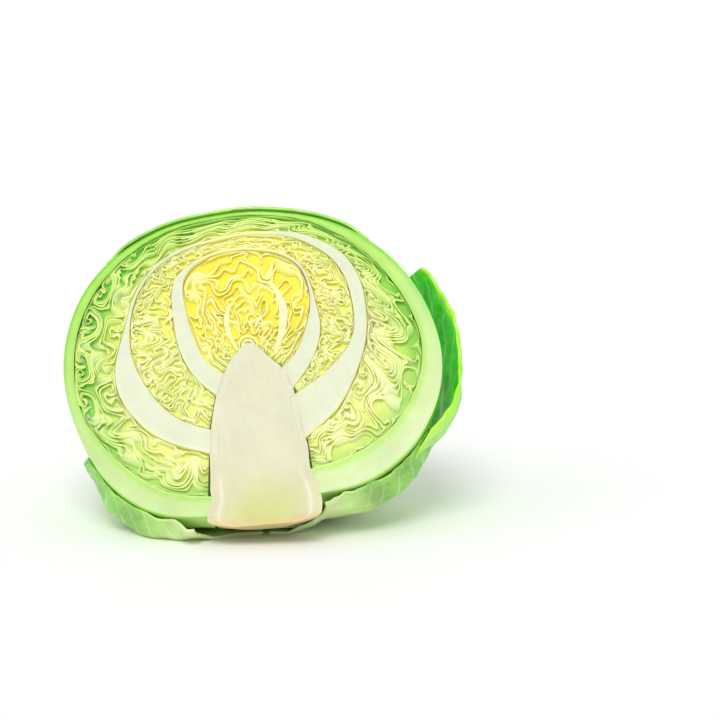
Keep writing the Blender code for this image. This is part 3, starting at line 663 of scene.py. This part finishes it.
def shell_leaf(name, left, seed):
    """One of the pair: its outer face, its cut rib and its inner face, in one closed skin."""
    sign = -1 if left else 1
    root = (shell_out[0] if left else shell_out[-1]) - MIDDLE
    top = np.array(SHELL_OUT_LEFT[-1]) - MIDDLE
    start = math.atan2(root[1], root[0]) - sign * 0.03
    arc = (sign * (math.atan2(top[1], top[0]) - start)) % (2 * math.pi)
    b = np.linspace(0, 1, 200)[None, :]
    turns = start + sign * arc * b
    sides = np.radians(WRAP) * np.linspace(0, 1, 64)[:, None] ** 1.5
    flat = np.cos(sides)
    way = [np.cos(turns) * flat, np.sin(turns) * flat, np.sin(sides) + 0 * turns]
    way = np.stack(way, axis=-1)
    rib = reach_of(OUTLINE, turns) - reach_of(INLINE, turns) - 0.05
    taper = np.exp(-((np.sin(sides) * HEAD_DEPTH / RIB_DEPTH) ** 2))
    thick = BLADE + np.maximum(rib - BLADE, 0) * taper
    dimple = 0.25 * ripple(way * 86, 16.0, seed) * eased(sides / 0.2)
    outer = on_head(way, dimple)
    inner = on_head(way, -thick + 0.15 * ripple(way * 86, 8.0, seed + 1))
    share = np.linspace(0, 1, 13)[1:-1][:, None]
    cut = inner[0][None] * (1 - share[..., None]) + outer[0][None] * share[..., None]
    dish = 0.15 + 0.2 * np.sin(math.pi * share[..., None]) * eased((1 - b) / 0.05)[..., None]
    cut = cut + dish * np.array([0, math.cos(LEAN), -math.sin(LEAN)])
    outside = mixed((0.52, 0.80, 0.22), (0.22, 0.62, 0.05), eased(sides / 0.5) * eased(b / 0.5))
    rimmed = 0.8 * eased((b + 0 * sides - 0.35) / 0.3) * np.exp(-sides / 0.06)
    outside = mixed(outside, (0.30, 0.78, 0.06), rimmed)
    inside = mixed((0.62, 0.84, 0.32), (0.24, 0.60, 0.06), eased(b + 0 * sides))
    high = eased((b - (0.18 if left else 0.30)) / 0.45)
    first, centre, last = (mixed(a, c, high) for a, c in zip(SHELL_ROOT, SHELL_TOP))
    streak = 0.10 * ripple(cut, 3.0, seed + 2) * eased((1 - b) / 0.03)
    face_paint = mixed(first, centre, eased(share / 0.4 + 0 * b) + streak)
    skin_near = np.clip(eased((share - 0.55) / 0.45) + 0 * b + streak, 0, 1)
    face_paint = mixed(face_paint, last, skin_near)
    if left:
        face_paint = face_paint * LEFT_GREENER
    lift = LAYERS_OUT + 0.6
    places = np.concatenate(
        [settled(outer[::-1], lift), settled(cut[::-1], lift), settled(inner, lift + BLADE)]
    )
    paint = np.concatenate([outside[::-1], face_paint[::-1], inside])
    places, paint = (np.concatenate([part, part[:1]]) for part in (places, paint))
    return grown(name, [places], [np.clip(paint, 0, 1)], True)


outer_flesh = flesh("outer leaf", 0.05, 70.0, 0.25, 700.0, 0.45, 0.25)
settle(shell_leaf("fine_outer_leaf_left", True, 31), outer_flesh, "outer_leaf_left")
settle(shell_leaf("fine_outer_leaf_right", False, 33), outer_flesh, "outer_leaf_right")


# The big green leaves round the back and below, on which the half head rests.
# Thick waxy blades with a pale branching net of veins, waved along their free rims.

VEIN_PALE = (0.72, 0.86, 0.45)


def unit(v):
    """The direction of a vector."""
    v = np.asarray(v, float)
    return v / np.linalg.norm(v)


def leaf_directions(root, tip, arc, side_low, side_high, columns, rows):
    """Directions over a leaf: columns run along the midrib's arc, rows across it."""
    start = unit(root)
    normal = unit(np.cross(start, unit(tip)))
    ahead = np.cross(normal, start)
    b = np.linspace(0, 1, columns)
    along = math.radians(arc) * b
    spine = np.cos(along)[:, None] * start + np.sin(along)[:, None] * ahead
    low, high = np.radians(side_low(b, spine))[:, None], np.radians(side_high(b, spine))[:, None]
    share = np.linspace(-1, 1, rows)[None, :]
    side = np.where(share < 0, low * share, high * share)
    way = np.cos(side)[..., None] * spine[:, None, :] + np.sin(side)[..., None] * normal
    return way, b[:, None] + 0 * side, share + 0 * side


def veins(b, share, count, seed):
    """How much of a vein shows, from 0 to 1: the midrib, its side veins and the net between."""
    off = np.abs(share)
    side = np.where(share < 0, 0.5, 0.0)
    wander = 0.16 * ripple(np.stack([b * 3, share * 2], -1), 1.1, seed)
    line = (b - 0.42 * off**0.8) * count + side + wander
    near = np.abs(line - np.rint(line))
    first = np.exp(-((near / (0.10 - 0.05 * off)) ** 2)) * (1 - 0.55 * off)
    second_line = (b * 1.1 + 0.55 * off) * count * 1.6 + 5 * wander
    near = np.abs(second_line - np.rint(second_line))
    second = np.exp(-((near / 0.09) ** 2)) * 0.26 * eased(off / 0.25)
    third_line = (b - 0.1 * off) * count * 3.1 + 3 * wander + 0.4 * np.sin(9 * share)
    near = np.abs(third_line - np.rint(third_line))
    third = np.exp(-((near / 0.12) ** 2)) * 0.14 * eased(off / 0.3)
    spine = np.exp(-((off / (0.075 * (1.15 - 0.8 * b))) ** 2))
    return np.maximum.reduce([spine, first, second, third]), spine


def veined(node, places, green, vein, finish):
    """A blade with pale veins; its wall is added evenly on both sides of the places."""
    paint = mixed(green, VEIN_PALE, np.clip(0.85 * vein, 0, 1))
    piece = grown("fine_" + node, [places], [paint], False)
    wall = piece.modifiers.new("Solidify", "SOLIDIFY")
    wall.thickness = BLADE * 0.001
    wall.offset = 0.0
    settle(piece, finish, node)


wrapper_flesh = flesh("wrapper leaf", 0.16, 55.0, 0.35, 600.0, 0.38, 0.12)


def back_half_wide(b, spine):
    """Degrees from the back leaf's midrib to its rim."""
    return 17 + 50 * eased(b / 0.42) - 20 * eased((b - 0.72) / 0.28)


way, b, share = leaf_directions(
    (0.03, -0.93, 0.36), (0.0, 0.0, 1.0), 158.8, back_half_wide, back_half_wide, 200, 150
)
way[-1, :, 2] = 0
vein, spine = veins(b, share, 7, 41)
rim = eased((np.abs(share) - 0.7) / 0.3)
free = rim * eased((b - 0.5) / 0.2)
pucker = 0.35 * ripple(way * 86, 11.0, 42) * (1 - vein) * eased(b / 0.2) * eased((1.02 - b) / 0.15)
out = OVERLAY - BLADE + 0.45 + BLADE / 2 + pucker + 0.5 * free * np.sin(17 * b)
out = out + 1.4 * spine * (1 - 0.75 * b) + 0.35 * vein
out = out - 1.7 * eased((np.abs(share) - 0.80) / 0.2) * eased((b - 0.6) / 0.2)
places = settled(on_head(way, out), LAYERS_OUT - OVERLAY + BLADE / 2)
# What would stand out of the cut face is laid back to half a mm behind it.
forward, upward = places[..., 1] * 1000 - SHIFT_Y, places[..., 2] * 1000 - FLOOR
depth = forward * math.cos(LEAN) - upward * math.sin(LEAN)
places[..., 1] -= np.minimum(depth - 0.5, 0) * math.cos(LEAN) * 0.001
places[..., 2] += np.minimum(depth - 0.5, 0) * math.sin(LEAN) * 0.001
green = mixed((0.42, 0.72, 0.16), (0.20, 0.56, 0.05), eased(0.2 + np.abs(share)) * eased(b / 0.6))
green = mixed(green, (0.42, 0.84, 0.12), 0.7 * eased((b - 0.93) / 0.06))
green = mixed(green, (0.62, 0.80, 0.34), eased(1 - b / 0.35))
veined("wrapper_leaf_back", places, green, vein, wrapper_flesh)


def low_leaf(name, sign, seed):
    """A leaf below, from the stalk outwards; its rim along the cut is tucked against the head."""
    b = np.linspace(0, 1, 140)[:, None]
    cut_side = np.linspace(-1, 1, 120)[None, :]
    turn = np.radians(45.3 - 41.8 * cut_side)
    fall = 21 + (84 - 22 * eased(cut_side) - 5 * eased(-cut_side) - 21) * b
    fall, turn = np.radians(fall), turn + 0 * b
    way = [sign * np.sin(fall) * np.cos(turn), -np.cos(fall), np.sin(fall) * np.sin(turn)]
    way = np.stack(way, axis=-1)
    b, cut_side = b + 0 * turn, cut_side + 0 * turn
    rim = np.maximum(eased((b - 0.55) / 0.45), eased((cut_side - 0.2) / 0.8))
    wave = np.sin(21 * b + 2 * cut_side + sign) + 0.6 * np.sin(13 * b - 4 * cut_side + 2)
    wave = wave + 0.2 * np.sin(60 * b + 5 * cut_side) * rim + 0.25 * np.sin(29 * cut_side + 9 * b)
    corner = eased((b - 0.6) / 0.4) * eased((cut_side - 0.2) / 0.8)
    vein, spine = veins(b, cut_side, 8, seed)
    pucker = 0.5 * ripple(way * 86, 10.0, seed) * (1 - vein)
    tuck = eased((cut_side - 0.50) / 0.45) * eased((b - 0.04) / 0.15)
    swell = 2.6 * np.exp(-(((cut_side - 0.45) / 0.32) ** 2)) * eased((b - 0.1) / 0.25)
    flare = rim * (1.6 + 1.0 * wave) * (1 - 0.85 * corner) * (1 - 0.7 * tuck) + pucker
    flare = flare + (0.35 if sign > 0 else 0.1) * ripple(way * 86, 5.0, seed + 5) * rim
    out = 2 * OVERLAY - BLADE + BLADE / 2 - 3.9 * tuck + swell * (1 - corner) + flare
    out = out + 1.1 * spine * eased((b - 0.4) / 0.2)
    places = settled(on_head(way, out + 0.3 * vein), BLADE / 2)
    green = mixed((0.46, 0.76, 0.20), (0.20, 0.60, 0.05), eased(b) * eased(0.6 + 0.4 * cut_side))
    # The troughs of the rim's waves are painted darker: painted shade in the folds.
    green = green * (1 - 0.16 * eased(0.5 - 0.5 * wave))[..., None]
    green = mixed((0.70, 0.86, 0.40), green, eased(b / 0.4))
    veined(name, places, green, vein, wrapper_flesh)


low_leaf("wrapper_leaf_left", -1, 51)
low_leaf("wrapper_leaf_right", 1, 53)


# A deep green leaf that has come away from the right side and stands out beside the face.
# Thinner and more crinkled than the wrappers, with a torn, wavy rim of paler green.


def loose_front(b, spine):
    """Degrees from the loose leaf's midrib to its rim beside the cut face."""
    room = np.degrees(np.arcsin(spine[:, 2])) - 5
    return room * np.sqrt(np.sin(np.pi * (0.12 + 0.80 * b)))


def loose_behind(b, spine):
    """Degrees from the loose leaf's midrib to its rim behind."""
    return 30 * np.sqrt(np.sin(np.pi * (0.14 + 0.80 * b)))


way, b, share = leaf_directions(
    (0.72, -0.56, 0.42), (0.90, 0.25, 0.36), 66, loose_behind, loose_front, 180, 110
)
flare = eased((share + 0.5) / 1.5) * np.sin(np.pi * (0.14 + 0.76 * b))
wave = np.sin(19 * b + 2) + 0.7 * np.sin(31 * b + 2.5 * share) + 0.6 * np.sin(70 * b + 4 * share)
vein, _ = veins(b, share, 7, 61)
out = 3 * OVERLAY + 0.6 + BLADE / 2 + 8.0 * flare + wave * (0.3 + 1.3 * eased(share))
out = out + 0.5 * ripple(way * 86, 9.0, 62) * (1 - vein) + 0.5 * vein
out = out - 7.0 * eased((0.28 - b) / 0.22)  # the lower end goes under the wrapper leaf
places = settled(on_head(way, out), 2.0)
green = mixed((0.42, 0.72, 0.16), (0.03, 0.74, 0.0), eased((b - 0.12) / 0.3))
green = mixed(green, (0.42, 0.86, 0.02), 0.85 * eased((np.abs(share) - 0.76) / 0.2))
# Emission in the leaf's own colour: painted light that brightens this leaf where it lies in shade.
loose_flesh = flesh("loose leaf", 0.18, 60.0, 0.35, 700.0, 0.5, 0.12, 0.12)
veined("loose_leaf_right", places, green, vein, loose_flesh)


# A plain pale surface that runs out of sight, soft light from all round and a large soft
# lamp in front of the face; the camera looks slightly down at the cut face.

FLAT, CURVE = 1.2, 1.5  # metres of level floor behind the object, and radius of its sweep up

backdrop = bmesh.new()
bmesh.ops.create_grid(backdrop, x_segments=2, y_segments=60, size=4.0)
for vert in backdrop.verts:
    far = vert.co.y - FLAT
    if far > 0:
        bend = min(far / CURVE, math.pi / 2)
        rise = max(far - CURVE * math.pi / 2, 0)
        vert.co.y = FLAT + CURVE * math.sin(bend)
        vert.co.z = CURVE * (1 - math.cos(bend)) + rise
    else:
        vert.co.z = 0
floor_mesh = bpy.data.meshes.new("floor")
backdrop.to_mesh(floor_mesh)
backdrop.free()
floor_mesh.shade_smooth()
floor = bpy.data.objects.new("floor", floor_mesh)
bpy.context.scene.collection.objects.link(floor)
pale = bpy.data.materials.new("pale floor")
pale.use_nodes = True
matt = pale.node_tree.nodes["Principled BSDF"]
matt.inputs["Base Color"].default_value = (0.96, 0.96, 0.955, 1)
matt.inputs["Roughness"].default_value = 0.8
floor_mesh.materials.append(pale)
floor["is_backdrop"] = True

sky = bpy.data.worlds.new("soft studio")
sky.use_nodes = True
even = sky.node_tree.nodes["Background"]
even.inputs["Color"].default_value = (1.0, 1.0, 1.0, 1)
even.inputs["Strength"].default_value = 0.62
bpy.context.scene.world = sky
bpy.context.scene.view_settings.view_transform = "Standard"


def soft_sun(name, tilt, turn, strength, softness):
    """Light from a wide soft source, tilted from overhead and turned round the object."""
    data = bpy.data.lights.new(name, "SUN")
    data.energy = strength
    data.angle = math.radians(softness)
    lamp = bpy.data.objects.new(name, data)
    bpy.context.scene.collection.objects.link(lamp)
    lamp.rotation_euler = (math.radians(tilt), 0, math.radians(turn))


soft_sun("front light", 42, -4, 1.5, 24)
soft_sun("left light", 50, -55, 0.35, 40)

VIEW_HEIGHT = math.radians(12.0)  # how far the camera looks down
VIEW_SIDE = math.radians(2.0)  # how far it stands to the right
FRAME_RIGHT, FRAME_UP = 54.0, 3.0  # mm from the middle of the cut face to the middle of the frame
AIM = Vector(((SHIFT_X + FRAME_RIGHT) * 0.001, SHIFT_Y * 0.001, (FLOOR + FRAME_UP) * 0.001))
DISTANCE = 2.0  # metres from there to the camera
lens = bpy.data.cameras.new("camera")
lens.lens, lens.sensor_width = 200.0, 36.0
camera = bpy.data.objects.new("camera", lens)
bpy.context.scene.collection.objects.link(camera)
back = Vector(
    (
        math.sin(VIEW_SIDE) * math.cos(VIEW_HEIGHT),
        -math.cos(VIEW_SIDE) * math.cos(VIEW_HEIGHT),
        math.sin(VIEW_HEIGHT),
    )
)
camera.location = AIM + DISTANCE * back
camera.rotation_euler = back.to_track_quat("Z", "Y").to_euler()
bpy.context.scene.camera = camera

low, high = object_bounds()
